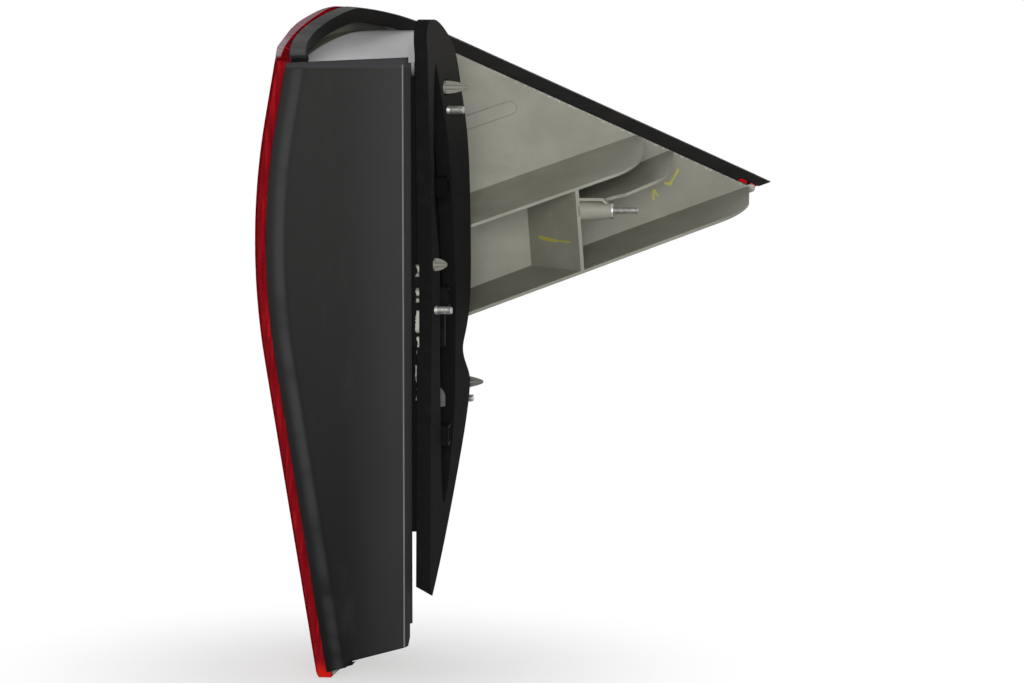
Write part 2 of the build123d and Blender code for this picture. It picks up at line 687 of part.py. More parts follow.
with BuildPart() as mounting_studs:
    for spot in (MIDDLE_STUD, UPPER_STUD):
        add(stud(spot, land_at(spot[0]), land_at(spot[0]) + GASKET + SHOULDER_PROUD))
    add(stud(LOWER_STUD, LOWER_SEAT_X, LOWER_SEAT_X + SHOULDER_PROUD))
mounting_studs.part.label = "mounting_studs"
export_step(mounting_studs.part, "parts/mounting_studs.step")

with BuildPart() as wing_stud:
    add(rod(WING_SEAT_X - STUD_ROOT, WING_SEAT_X + WING_STUD_LENGTH, WING_STUD, WING_STUD_RADIUS))
    chamfer(wing_stud.faces().sort_by(Axis.X)[-1].edges(), length=0.9)
    add(rod(WING_SEAT_X, WING_SEAT_X + 1.6, WING_STUD, 6.5))
wing_stud.part.label = "wing_stud"
export_step(wing_stud.part, "parts/wing_stud.step")

# Inboard cover: a shallow tray with a rolled rear margin and a forward return flange
def cover_edge(inset=0.0):
    """Draw the cover's outline seen from inboard, or that outline with its rear edge moved forward."""
    rear = WRAP_START[0] + COVER_GAP + inset
    rise = COVER_FOOT_SLOPE * inset
    low = (rear + side_shift(-262), -262 + rise)
    high = (rear + side_shift(178), 178)
    FilletPolyline(low, (rear + KNEE_X, KNEE_Z), high, radius=KNEE_RADIUS)
    Polyline(
        high,
        (COVER_FRONT_X, COVER_TOP_Z),
        (COVER_FRONT_X, -228),
        (COVER_FRONT_X - 2.8, -242),
        (-61.0 + inset, -253.0 + rise),
        (-65.2 + inset, -257.8 + rise),
        low,
    )


with BuildPart() as inboard_cover:
    with BuildSketch(Plane.XZ.offset(-COVER_BACK_Y)):
        with BuildLine():
            cover_edge()
        make_face()
    extrude(amount=COVER_BACK_Y - COVER_FACE_Y)
    outer = faces().sort_by(Axis.Y)[0]
    rear_edges = outer.edges().filter_by(lambda edge: edge.center().X < -70)
    rear_edges = rear_edges.filter_by(lambda edge: edge.length > 30)
    chamfer(rear_edges, length=3.2, length2=COVER_ROLL)
    # Rim that rests on the housing's inboard wall, and the forward return
    with BuildSketch(Plane.XZ.offset(-HOUSING_INBOARD_Y)):
        with BuildLine():
            cover_edge(COVER_RIM)
        make_face()
    extrude(amount=HOUSING_INBOARD_Y - COVER_BACK_Y + 0.2)
    add(block(COVER_FRONT_X - 3, COVER_FRONT_X, COVER_BACK_Y, COVER_RETURN_Y, -226, COVER_TOP_Z - 4))
    # Hollow back
    with BuildSketch(Plane.XZ.offset(-HOUSING_INBOARD_Y)):
        with BuildLine():
            cover_edge(COVER_ROLL + 2)
        make_face()
        offset(amount=-COVER_WALL, mode=Mode.REPLACE)
        with Locations((COVER_FRONT_X - 7, 0)):
            Rectangle(2 * FAR, 2 * FAR, align=(Align.MAX, Align.CENTER), mode=Mode.INTERSECT)
    extrude(amount=HOUSING_INBOARD_Y - COVER_FACE_Y - COVER_WALL, mode=Mode.SUBTRACT)
    # Slanted front side and bevelled top edge
    with BuildSketch():
        Polygon((-22.6, -22.6), (COVER_FRONT_X + 0.1, -14.5), (0, -14.5), (0, -40), (-22.6, -40), align=None)
    extrude(amount=FAR, both=True, mode=Mode.SUBTRACT)
    with BuildSketch(Plane.YZ):
        Polygon((-22.6, 174.5), (-19.6, 184), (-19.6, 200), (-40, 200), (-40, 174.5), align=None)
    extrude(amount=FAR, both=True, mode=Mode.SUBTRACT)
inboard_cover.part.label = "inboard_cover"
export_step(inboard_cover.part, "parts/inboard_cover.step")


# Metallised bezel behind the lens with a deep bowl at each bulb
FOCAL = BOWL_RADIUS**2 / (BOWL_VERTEX_X - BOWL_MOUTH_X)


def bowl_edge(grow, neck):
    """Draw half of a bowl, grown by a wall, with its neck carried forward."""
    small_x = BOWL_VERTEX_X - BOWL_HOLE**2 / FOCAL
    middle = (BOWL_VERTEX_X - BOWL_HOLE * BOWL_RADIUS / FOCAL, (BOWL_HOLE + BOWL_RADIUS) / 2 + grow)
    small = (small_x, BOWL_HOLE + grow)
    mouth = (BOWL_MOUTH_X, BOWL_RADIUS + grow)
    Bezier(small, middle, mouth)
    Polyline(
        mouth,
        (BOWL_MOUTH_X - 60, BOWL_RADIUS + grow),
        (BOWL_MOUTH_X - 60, 0),
        (small_x + neck, 0),
        (small_x + neck, BOWL_HOLE + grow),
        small,
    )


def bowl(spot, grow, neck):
    """Turned bowl on a bulb's axis."""
    with BuildPart() as body:
        with BuildSketch(Plane(origin=(0, spot[0], spot[1]), x_dir=(1, 0, 0), z_dir=(0, 0, 1))):
            with BuildLine():
                bowl_edge(grow, neck)
            make_face()
        revolve(axis=Axis((0, spot[0], spot[1]), (1, 0, 0)))
    return body.part


inside_bezel = wrap_inside(BEZEL_DEPTH)
with BuildPart() as reflector_bezel:
    add(wrap_band(BEZEL_DEPTH, BEZEL_DEPTH + BEZEL_WALL))
    for spot in socket_spots:
        with BuildPart():
            add(bowl(spot, BOWL_WALL, 2))
            add(inside_bezel, mode=Mode.INTERSECT)
    add(envelope(inset=WALL + 0.05, drop=STRIP_HEIGHT, tip=HOUSING_TIP), mode=Mode.INTERSECT)
    add(under_roof(WALL + 0.05), mode=Mode.INTERSECT)
    add(block(-FAR, FAR, HOUSING_INBOARD_Y + WALL + 0.05, FAR, -FAR, FAR), mode=Mode.INTERSECT)
    for spot in socket_spots:
        add(bowl(spot, 0, 4), mode=Mode.SUBTRACT)
reflector_bezel.part.label = "reflector_bezel"
export_step(reflector_bezel.part, "parts/reflector_bezel.step")

# Reflex panels bonded inside the lens, one at the rear and one on the flank
reflex_band = wrap_band(LENS_WALL + 0.2, LENS_WALL + 2.7)
with BuildPart() as rear_reflex:
    add(reflex_band)
    add(block(-FAR, 0, 8, 86, -226, -150), mode=Mode.INTERSECT)
rear_reflex.part.label = "rear_reflex"
export_step(rear_reflex.part, "parts/rear_reflex.step")

with BuildPart() as side_reflex:
    add(reflex_band)
    add(block(61.5, 131.5, 100, FAR, 62, 92), mode=Mode.INTERSECT)
side_reflex.part.label = "side_reflex"
export_step(side_reflex.part, "parts/side_reflex.step")

# Bulbs, sockets, seals and terminals, one of each per bulb spot
FLANGE_X = BACK_X + SOCKET_SEAL
BASE_END_X = BARREL_END_X + 6
GLASS_X = BARREL_END_X - 16
SHROUD_X = -7.5
TERMINAL_GAP = 5.0
TERMINAL_LENGTH = 7.5


def glass_edge(thin):
    """Draw half of a bulb's glass, thinned by a wall."""
    radius = BULB_GLASS - thin
    crown = BULB_END_X + BULB_GLASS
    shoulder = GLASS_X - 10
    CenterArc((crown, 0), radius, 90, 90)
    Polyline(
        (crown, radius),
        (shoulder, radius),
        (GLASS_X - thin, BULB_BASE - 1 - thin),
        (GLASS_X - thin, 0),
        (crown - radius, 0),
    )


def turned_glass(spot, thin):
    """Turned solid of a bulb's glass."""
    with BuildPart() as body:
        with BuildSketch(Plane(origin=(0, spot[0], spot[1]), x_dir=(1, 0, 0), z_dir=(0, 0, 1))):
            with BuildLine():
                glass_edge(thin)
            make_face()
        revolve(axis=Axis((0, spot[0], spot[1]), (1, 0, 0)))
    return body.part


def blades(spot):
    """Two flat terminals in a socket's shroud."""
    with BuildPart() as body:
        with Locations((SHROUD_X + 1 + TERMINAL_LENGTH / 2, spot[0], spot[1])):
            with Locations((0, 0, -TERMINAL_GAP / 2), (0, 0, TERMINAL_GAP / 2)):
                Box(TERMINAL_LENGTH, 4.5, 0.8)
    return body.part


for name, spot in (("reverse", REVERSE_SPOT), ("stop_tail", TAIL_SPOT), ("turn_signal", TURN_SPOT)):
    with BuildPart() as bulb:
        add(turned_glass(spot, 0))
        add(turned_glass(spot, 0.8), mode=Mode.SUBTRACT)
    bulb.part.label = name + "_bulb"
    export_step(bulb.part, "parts/" + name + "_bulb.step")

    with BuildPart() as socket:
        add(rod(BARREL_END_X, FLANGE_X, spot, BARREL))
        add(rod(FLANGE_X, FLANGE_X + 3, spot, SOCKET_FLANGE))
        add(rod(FLANGE_X + 3, SHROUD_X + 0.5, spot, BARREL - 0.7))
        with Locations(((SHROUD_X + SOCKET_TIP_X) / 2, spot[0], spot[1])):
            Box(SOCKET_TIP_X - SHROUD_X, 17, 14)
        with BuildSketch(Plane.YZ.offset(BACK_X - WALL - 2.2)):
            with Locations(spot):
                with PolarLocations(BARREL, 3, start_angle=105):
                    Rectangle(2 * LUG, 5)
        extrude(amount=2.2)
        if name == "stop_tail":
            add(block(FLANGE_X + 1, SOCKET_TIP_X - 3, spot[0] - 7, spot[0] + 7, spot[1] - 36, spot[1] - 5))
        add(block(SHROUD_X + 3, FAR, spot[0] - 7, spot[0] + 7, spot[1] - 5.5, spot[1] + 5.5), mode=Mode.SUBTRACT)
        add(rod(BARREL_END_X - 1, BASE_END_X, spot, BULB_BASE), mode=Mode.SUBTRACT)
        add(blades(spot), mode=Mode.SUBTRACT)
    socket.part.label = name + "_socket"
    export_step(socket.part, "parts/" + name + "_socket.step")

    with BuildPart() as seal:
        add(rod(BACK_X, FLANGE_X, spot, SOCKET_FLANGE - 0.4))
        add(rod(BACK_X - 1, FLANGE_X + 1, spot, BARREL), mode=Mode.SUBTRACT)
    seal.part.label = name + "_socket_seal"
    export_step(seal.part, "parts/" + name + "_socket_seal.step")

with BuildPart() as bulb_bases:
    for spot in socket_spots:
        add(rod(GLASS_X, BASE_END_X, spot, BULB_BASE))
bulb_bases.part.label = "bulb_bases"
export_step(bulb_bases.part, "parts/bulb_bases.step")

with BuildPart() as socket_terminals:
    for spot in socket_spots:
        add(blades(spot))
socket_terminals.part.label = "socket_terminals"
export_step(socket_terminals.part, "parts/socket_terminals.step")

# Breather elbow swept along a bent path, open end down
VENT_X = -0.5
VENT_DROP = 12.0
with BuildPart() as vent_elbow:
    start_x = BACK_X - WALL
    with BuildLine(Plane.XZ.offset(-VENT_SPOT[0])) as bend:
        low = (VENT_X, VENT_SPOT[1] - VENT_DROP)
        FilletPolyline((start_x, VENT_SPOT[1]), (VENT_X, VENT_SPOT[1]), low, radius=6)
    with BuildSketch(Plane.YZ.offset(start_x)):
        with Locations(VENT_SPOT):
            Circle(4)
    sweep(path=bend.wires()[0])
    add(rod(BACK_X, BACK_X + 1.5, VENT_SPOT, 6))
    with BuildPart(mode=Mode.SUBTRACT):
        with BuildSketch(Plane.YZ.offset(start_x)):
            with Locations(VENT_SPOT):
                Circle(2.2)
        sweep(path=bend.wires()[0])
vent_elbow.part.label = "vent_elbow"
export_step(vent_elbow.part, "parts/vent_elbow.step")
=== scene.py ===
# %% [markdown]
# # A car's tail light cluster
# The lamp's solids come from CAD and are loaded here as a fixed frame, in metres. +X is forward
# along the mounting studs, +Y is outboard and +Z is up. Blender adds what CAD leaves plain:
# threads, lamp filaments, moulded finishes, paint marks and light.

# %% Load the frame
import json
import math

import bmesh
import bpy
from mathutils import Matrix, Vector


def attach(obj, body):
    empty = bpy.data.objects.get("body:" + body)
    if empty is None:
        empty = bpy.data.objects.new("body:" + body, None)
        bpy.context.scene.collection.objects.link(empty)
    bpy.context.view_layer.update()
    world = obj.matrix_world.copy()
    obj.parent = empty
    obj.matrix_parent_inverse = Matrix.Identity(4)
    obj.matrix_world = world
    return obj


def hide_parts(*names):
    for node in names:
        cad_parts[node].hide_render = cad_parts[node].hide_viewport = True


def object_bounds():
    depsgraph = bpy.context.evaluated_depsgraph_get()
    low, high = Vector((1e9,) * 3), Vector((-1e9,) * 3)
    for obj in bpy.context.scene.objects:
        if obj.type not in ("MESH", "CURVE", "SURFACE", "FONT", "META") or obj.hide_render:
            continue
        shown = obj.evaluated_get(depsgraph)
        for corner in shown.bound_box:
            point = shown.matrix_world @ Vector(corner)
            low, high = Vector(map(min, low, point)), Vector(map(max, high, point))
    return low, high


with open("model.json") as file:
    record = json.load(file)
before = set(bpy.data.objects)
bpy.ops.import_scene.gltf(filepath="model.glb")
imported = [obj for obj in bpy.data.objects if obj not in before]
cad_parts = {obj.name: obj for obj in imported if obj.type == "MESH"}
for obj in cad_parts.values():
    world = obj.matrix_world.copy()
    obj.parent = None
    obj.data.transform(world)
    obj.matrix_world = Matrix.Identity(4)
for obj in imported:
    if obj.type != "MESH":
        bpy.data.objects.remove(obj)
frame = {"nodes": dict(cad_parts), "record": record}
cad_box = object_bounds()
nodes = frame["nodes"]
MM = 0.001
print("CAD box", [round(v, 4) for v in cad_box[0]], [round(v, 4) for v in cad_box[1]])

# %% [markdown]
# ## Camera
# The photograph looks outboard at the lamp's inboard side, from a little forward and a little
# above. A camera could be dragged into place by eye. Here its direction comes from two angles
# instead, so a correction of one degree is a change of one number. A long lens keeps the wing's
# ribs nearly parallel.

# %% Camera direction
VIEW_AZIMUTH = math.radians(4)
VIEW_ELEVATION = math.radians(6)

back = Vector((
    math.sin(VIEW_AZIMUTH) * math.cos(VIEW_ELEVATION),
    -math.cos(VIEW_AZIMUTH) * math.cos(VIEW_ELEVATION),
    math.sin(VIEW_ELEVATION),
))
right = Vector((math.cos(VIEW_AZIMUTH), math.sin(VIEW_AZIMUTH), 0))
up = back.cross(right)
print("camera looks along", [round(v, 3) for v in -back])

# %% [markdown]
# ## Camera target
# The target is worked out from one known point near the middle stud and from the size of a pixel
# there. Because the pixel's size is a real length, the focal length follows from it.

# %% Camera
IMAGE_WIDTH = 1024
IMAGE_HEIGHT = 683
PIXEL = 0.72 * MM
VIEW_DISTANCE = 2.6
KNOWN_PIXEL = (426, 310)
KNOWN_POINT = Vector((-8.5 * MM, 0, 0))
SENSOR_WIDTH = 36

across = (IMAGE_WIDTH / 2 - KNOWN_PIXEL[0]) * PIXEL
upward = (KNOWN_PIXEL[1] - IMAGE_HEIGHT / 2) * PIXEL
target = KNOWN_POINT + right * across + up * upward

camera_data = bpy.data.cameras.new("camera")
camera_data.sensor_width = SENSOR_WIDTH
camera_data.lens = VIEW_DISTANCE / PIXEL * SENSOR_WIDTH / IMAGE_WIDTH
camera = bpy.data.objects.new("camera", camera_data)
camera.location = target + back * VIEW_DISTANCE
camera.rotation_mode = "QUATERNION"
camera.rotation_quaternion = (-back).to_track_quat("-Z", "Y")
bpy.context.scene.collection.objects.link(camera)
bpy.context.scene.camera = camera
print("lens", round(camera_data.lens, 2), "mm")

# %% [markdown]
# ## Shader arithmetic
# A finish is a sum of masks and noises. Such sums could be wired node by node, but they are hard to
# read that way. So one small class wraps a node's output and turns + - * / into Math nodes.


# %% A value with arithmetic
class Field:
    """A value that changes over a surface: one output socket with Python arithmetic."""

    def __init__(self, graph, socket):
        self.graph = graph
        self.socket = socket

    def math(self, operation, first, second=0.0):
        return self.graph.node("Math", {"operation": operation}, {0: first, 1: second})

    def __add__(self, other):
        return self.math("ADD", self, other)

    __radd__ = __add__

    def __sub__(self, other):
        return self.math("SUBTRACT", self, other)

    def __rsub__(self, other):
        return self.math("SUBTRACT", other, self)

    def __mul__(self, other):
        return self.math("MULTIPLY", self, other)

    __rmul__ = __mul__

    def __truediv__(self, other):
        return self.math("DIVIDE", self, other)

    def largest(self, other):
        return self.math("MAXIMUM", self, other)

    def sine(self):
        return self.math("SINE", self)

    def step(self, low, high):
        """0 below low, 1 above high and a soft ramp between them."""
        inputs = {"Value": self, "From Min": low, "From Max": high}
        return self.graph.node("MapRange", {"interpolation_type": "SMOOTHSTEP"}, inputs)

    def below(self, low, high):
        """1 below low, 0 above high and a soft ramp between them."""
        return 1 - self.step(low, high)


# %% [markdown]
# ## A node tree
# Every other node comes from one method, which takes the node's type, its settings and its inputs.
# Patterns read Object coordinates, so they stay in place on the part and keep their real size in
# metres.


# %% A node tree
class Graph:
    """A node tree, with one short call for each kind of node."""

    def __init__(self, tree):
        self.tree = tree
        self.tree.nodes.clear()

    def put(self, socket, value):
        """Give an input socket a number, a colour or a link."""
        if isinstance(value, Field):
            self.tree.links.new(value.socket, socket)
        else:
            socket.default_value = value

    def node(self, kind, settings=None, inputs=None, output=0):
        """Any node: its type, its settings, then its inputs by name or place."""
        made = self.tree.nodes.new("ShaderNode" + kind)
        for name, value in (settings or {}).items():
            setattr(made, name, value)
        for name, value in (inputs or {}).items():
            self.put(made.inputs[name], value)
        return Field(self, made.outputs[output])

    def vector(self, operation, first, second, output="Vector"):
        """Vector arithmetic."""
        return self.node("VectorMath", {"operation": operation}, {0: first, 1: second}, output)

    def mix(self, factor, first, second):
        """Blend two colours."""
        return self.node("Mix", {"data_type": "RGBA"}, {0: factor, 6: first, 7: second}, output=2)

    def place(self):
        """Where the surface is, in the object's own metres."""
        return self.node("TexCoord", output="Object")

    def axis(self, letter):
        """One coordinate of the surface."""
        return self.node("SeparateXYZ", None, {0: self.place()}, output=letter)

    def axes(self):
        """All three coordinates of the surface."""
        return [self.axis(letter) for letter in "XYZ"]

    def noise(self, scale, detail=3.0, stretch=(1, 1, 1)):
        """Cloudy noise from 0 to 1, at a scale in repeats a metre."""
        where = self.vector("MULTIPLY", self.place(), stretch)
        return self.node("TexNoise", None, {"Vector": where, "Scale": scale, "Detail": detail})

    def cells(self, scale):
        """Distance to the nearest cell centre, for pores and prisms."""
        return self.node("TexVoronoi", None, {"Vector": self.place(), "Scale": scale})


# %% [markdown]
# ## A material
# A material is a node tree with a Principled shader, and some pieces mix a second shader in by
# place. A Bevel node under the bump softens sharp CAD edges in the light without any change to the
# mesh.


# %% A material
class Finish(Graph):
    """One material with its Principled shader."""

    def __init__(self, name, **constants):
        self.material = bpy.data.materials.new(name)
        self.material.use_nodes = True
        super().__init__(self.material.node_tree)
        self.output = self.tree.nodes.new("ShaderNodeOutputMaterial")
        self.shader = self.principled(**constants)
        self.put(self.output.inputs[0], Field(self, self.shader.outputs[0]))

    def principled(self, **constants):
        """A Principled shader with some of its inputs set."""
        made = self.tree.nodes.new("ShaderNodeBsdfPrincipled")
        for name, value in constants.items():
            made.inputs[name.replace("_", " ").title().replace("Ior", "IOR")].default_value = value
        return made

    def blend(self, factor, other):
        """Mix the Principled shader with another shader by a factor."""
        first = Field(self, self.shader.outputs[0])
        self.put(self.output.inputs[0], self.node("MixShader", None, {0: factor, 1: first, 2: other}))

    def colour(self, value):
        self.put(self.shader.inputs["Base Color"], value)

    def roughness(self, value):
        self.put(self.shader.inputs["Roughness"], value)

    def relief(self, height, depth, edge=0.0):
        """Raise the surface by a height field, over edges that are softened by a small radius."""
        inputs = {"Height": height, "Distance": depth, "Strength": 1.0}
        if edge:
            inputs["Normal"] = self.node("Bevel", {"samples": 4}, {"Radius": edge})
        normal = self.node("Bump", None, inputs)
        self.put(self.shader.inputs["Normal"], normal)
        return normal

    def dress(self, *names):
        """Give this finish to CAD nodes."""
        for name in names:
            slots = nodes[name].data.materials
            slots.clear()
            slots.append(self.material)
        print(self.material.name, "on", ", ".join(names))


# %% [markdown]
# ## Screen colours
# Colours are easier to judge as they look on a screen, from 0 to 255. Shaders calculate with linear
# light, so one function turns the first into the second.


# %% Screen colours
def tone(red, green, blue):
    """A colour as seen on a screen, from 0 to 255, as the linear colour that shaders use."""
    shares = [value / 255 for value in (red, green, blue)]
    linear = [v / 12.92 if v <= 0.04045 else ((v + 0.055) / 1.055) ** 2.4 for v in shares]
    return (*linear, 1.0)


print("middle grey is", round(tone(128, 128, 128)[0], 3))

# %% [markdown]
# ## Housing plastic
# The housing is injection moulded in a warm grey plastic, with a faint flow mottle and a fine mould
# grain. An image of real plastic could be projected on it, but noise has no seams and needs no map.
# The lower bays and the wing's far end lie in shade in the photograph, so they are a little darker.

# %% Housing plastic
PLASTIC_DARK = tone(139, 139, 125)
PLASTIC_LIGHT = tone(156, 156, 143)
FLOW_GREY = tone(128, 126, 111)
SPECK_GREY = tone(112, 110, 96)
BAY_GREY = tone(108, 107, 96)

housing = Finish("housing grey", roughness=0.5)
x, y, z = housing.axes()
mottle = housing.noise(30, 4.0)
flow = housing.noise(14, 3.0, stretch=(1, 1, 3))
speck = housing.noise(1300, 2.0)
grey = housing.mix(mottle.step(0.3, 0.75), PLASTIC_DARK, PLASTIC_LIGHT)
grey = housing.mix(flow.step(0.45, 0.7) * 0.3, grey, FLOW_GREY)
grey = housing.mix(speck.step(0.62, 0.8) * 0.25, grey, SPECK_GREY)
low_bay = z.below(-30 * MM, 90 * MM) * 0.45
wing_end = x.step(90 * MM, 220 * MM) * 0.4
grey = housing.mix(low_bay.largest(wing_end), grey, BAY_GREY)
print("housing grey mixed from", len(housing.tree.nodes), "nodes")

# %% [markdown]
# ## Domed roof and its channel
# The roof's dome gets a paler painted highlight, and the channel between it and the strip gets
# painted shade; both get darker forward. They are one moulding, so there is no separate face to
# colour. The dome is an ellipse in plan, and what lies outside the ellipse is the channel.

# %% Domed roof and its channel
ROOF_Z = 163 * MM
BACK_X = -22.5 * MM
PEDESTAL_X = -16 * MM
PEDESTAL_Y = 30 * MM
DOME_CENTRE = (-20 * MM, -18 * MM)
DOME_RADII = (82 * MM, 150 * MM)

pedestal = x.below(PEDESTAL_X, PEDESTAL_X + 1 * MM) * y.below(PEDESTAL_Y, PEDESTAL_Y + 4 * MM)
roof = z.step(ROOF_Z, ROOF_Z + 4 * MM) * pedestal.largest(x.below(BACK_X - 1 * MM, BACK_X))
dome_x = (x - DOME_CENTRE[0]) / DOME_RADII[0]
dome_y = (y - DOME_CENTRE[1]) / DOME_RADII[1]
channel = (dome_x * dome_x + dome_y * dome_y).step(0.97, 1.01)
# Painted highlight on the dome and painted shade in the channel, both darker forward.
dome_highlight = housing.mix(x.step(-80 * MM, -40 * MM), tone(222, 222, 223), tone(182, 181, 182))
channel_shade = housing.mix(x.step(-85 * MM, -68 * MM), tone(104, 105, 94), tone(48, 48, 43))
grey = housing.mix(roof, grey, housing.mix(channel, dome_highlight, channel_shade))
print("dome", [round(2 * radius / MM) for radius in DOME_RADII], "mm across")

# %% [markdown]
# ## Well behind the gasket
# Little light gets past the gasket into the well behind it, or between the cover and the housing,
# so painted shade darkens both.
# The gasket's land is a tilted plane, so "behind it" is one subtraction. A curve in Y and Z follows
# the hole.

# %% Well behind the gasket
LAND_SLOPE = math.tan(math.radians(16))
LAND_BACK = -12.1 * MM
HOLE_MIDDLE_Z = 10 * MM
HOLE_REACH_Y = 43 * MM
HOLE_TAPER = 1.15
WELL_LOW_Z = -164 * MM
WELL_TOP_Z = 168 * MM
SIDE_Y = -6.6 * MM

behind_land = (x - y * LAND_SLOPE).below(LAND_BACK, LAND_BACK + 0.4 * MM)
from_middle = z - HOLE_MIDDLE_Z
hole_edge = y + from_middle * from_middle * HOLE_TAPER
in_well = behind_land * x.step(BACK_X - 3 * MM, BACK_X - 2.5 * MM)
in_well = in_well * hole_edge.below(HOLE_REACH_Y, HOLE_REACH_Y + 4 * MM)
in_well = in_well * z.step(WELL_LOW_Z, WELL_LOW_Z + 2 * MM) * z.below(WELL_TOP_Z, WELL_TOP_Z + 4 * MM)
inboard_side = y.below(SIDE_Y, SIDE_Y + 0.4 * MM) * x.step(BACK_X - 1.5 * MM, BACK_X - 1 * MM)
in_well = in_well.largest(inboard_side * (1 - roof * z.step(ROOF_Z + 3 * MM, ROOF_Z + 19 * MM)))
print("well from", round(WELL_LOW_Z / MM), "to", round(WELL_TOP_Z / MM), "mm up")

# %% [markdown]
# ## Locating pins
# Three cross-ribbed pins find their holes in the car's body. Painted shade makes them darker than the
# walls around them, and the lowest one most of all. Each pin's mask is the distance from its axis,
# squared, because that needs no root.

# %% Locating pins
# Y and Z of each pin's axis, in millimetres.
PIN_SPOTS = ((20.0, 159.5), (-1.0, 33.0), (80.0, -61.0))
PIN_REACH = 5.5 * MM
# Painted shade on the pins.
PIN_SHADE = tone(100, 99, 92)

pin_shade_share = 0.9 - z.step(-20 * MM, 20 * MM) * 0.4
for pin_y, pin_z in PIN_SPOTS:
    off_y = y - pin_y * MM
    off_z = z - pin_z * MM
    near_pin = (off_y * off_y + off_z * off_z).below(PIN_REACH**2, 1.2 * PIN_REACH**2)
    grey = housing.mix(near_pin * pin_shade_share, grey, PIN_SHADE)
print(len(PIN_SPOTS), "pins darkened")

# %% [markdown]
# ## Paint marks
# A check at the factory has left three marks of yellow paint in the wing, each of two strokes. They
# could be decals, but a decal needs a mesh or an image. A stroke is the distance to a short line,
# made ragged by noise, and that works on any surface.

# %% Paint marks
PAINT = tone(196, 192, 34)
PAINT_OPACITY = 0.75
# Start, end and width of each stroke, in millimetres.
STROKES = [
    ((64.7, 132.4, 43.0), (78.5, 116.1, 41.3), 2.8),
    ((78.5, 116.1, 41.3), (89.7, 102.7, 41.7), 1.5),
    ((149.5, 165.9, 70.7), (150.2, 165.9, 76.8), 3.2),
    ((150.2, 165.9, 76.8), (153.2, 166.8, 72.2), 2.4),
    ((158.5, 167.7, 82.0), (162.3, 168.6, 81.2), 2.6),
    ((162.3, 168.6, 81.2), (168.3, 169.6, 91.9), 2.2),
]


def brush_stroke(finish, start, end, width):
    """1 on a brush stroke between two points in millimetres, with a ragged edge."""
    start = Vector(start) * MM
    along = Vector(end) * MM - start
    offset = finish.vector("SUBTRACT", finish.place(), start)
    share = finish.vector("DOT_PRODUCT", offset, along / along.length_squared, "Value")
    share = finish.node("Clamp", None, {"Value": share})
    nearest = finish.node("VectorMath", {"operation": "SCALE"}, {0: tuple(along), "Scale": share})
    gap = finish.vector("LENGTH", finish.vector("SUBTRACT", offset, nearest), (0, 0, 0), "Value")
    ragged = gap + (finish.noise(700, 2.0) - 0.5) * (0.8 * width * MM)
    return ragged.below(0.35 * width * MM, 0.55 * width * MM)


for start, end, width in STROKES:
    grey = housing.mix(brush_stroke(housing, start, end, width) * PAINT_OPACITY, grey, PAINT)
print(len(STROKES), "paint strokes")

# %% [markdown]
# ## Squeezed-out adhesive
# The strip's adhesive has squeezed out in pale crumbs along the skin's top edge, and a bead of it
# shows beside the cover. Such thin smears could be small meshes, but they have no height that would
# show. The crumbs are the distance to one long sloping line, broken up by noise.

# %% Squeezed-out adhesive
STRIP_LOW_Z = 182.46 * MM
STRIP_SLOPE = -0.4665
CRUMB = 2.2 * MM
CRUMB_GREY = tone(186, 186, 176)
BEAD_X = -15.3 * MM
BEAD_LOW_Z = -75 * MM
BEAD_TOP_Z = 31 * MM

below_strip = STRIP_LOW_Z + x * STRIP_SLOPE - z
crumbs = (housing.noise(380, 3.0) - below_strip / CRUMB * 0.28).step(0.42, 0.5)
grey = housing.mix(crumbs * x.step(20 * MM, 30 * MM) * 0.7, grey, CRUMB_GREY)
bead_edge = x + (housing.noise(160, 3.0) - 0.5) * (6 * MM)
bead = bead_edge.step(BEAD_X, BEAD_X + 0.5 * MM) * z.step(BEAD_LOW_Z, BEAD_LOW_Z + 5 * MM)
bead = bead * z.below(BEAD_TOP_Z, BEAD_TOP_Z + 3 * MM)
bead = bead * housing.noise(70, 2.0, stretch=(0, 0, 1)).step(0.46, 0.52) * inboard_side
print("bead", round((BEAD_TOP_Z - BEAD_LOW_Z) / MM), "mm long")

# %% [markdown]
# ## The housing's two shaders
# The well gets a second, duller shader for its painted shade, because a dark colour alone would
# still reflect the white room. The bead lies in the well, so it is coloured there. On the main shader
# the mottle changes the roughness too, and the roof is smoother than the rest.

# %% The housing's two shaders
# Painted shade for the well.
WELL_SHADE = tone(22, 22, 21)

shade = housing.principled(roughness=0.8, specular_ior_level=0.05)
housing.put(shade.inputs["Base Color"], housing.mix(bead, WELL_SHADE, CRUMB_GREY))
housing.blend(in_well, Field(housing, shade.outputs[0]))
housing.colour(grey)
housing.roughness(0.42 + mottle * 0.2 - roof * 0.12)
housing.relief(speck, 0.05 * MM, edge=0.7 * MM)
housing.dress("lamp_housing")

# %% [markdown]
# ## Inboard cover
# The cover is a dark satin panel with a fine spark-eroded grain. Handling has left cloudy, duller
# marks, so the same clouds change both its colour and its roughness. Painted shade makes it darker
# towards the bottom, and painted light makes it paler towards the front edge.

# %% Cover satin
COVER_FRONT_X = -22.6 * MM

satin = Finish("cover satin black", roughness=0.45, specular_ior_level=0.1)
x, y, z = satin.axes()
cloud = satin.noise(16, 5.0, stretch=(1, 1, 0.6))
smear = satin.noise(60, 4.0, stretch=(1, 1, 0.35))
grain = satin.noise(1800, 2.0)
# Painted shade: darker towards the bottom.
dark = satin.mix(z.step(-300 * MM, 250 * MM), tone(11, 11, 12), tone(40, 40, 39))
dark = satin.mix(cloud.step(0.35, 0.75) * 0.4, dark, tone(40, 40, 40))
dark = satin.mix(smear.step(0.55, 0.8) * 0.35, dark, tone(48, 48, 47))
# Painted light: paler towards the front edge.
dark = satin.mix(x.step(-70 * MM, COVER_FRONT_X) * 0.4, dark, tone(62, 62, 62))
satin.roughness(0.36 + cloud * 0.2 + smear * 0.1)
satin.relief(grain, 0.04 * MM, edge=3 * MM)
print("cover's front edge at", round(COVER_FRONT_X / MM, 1), "mm")
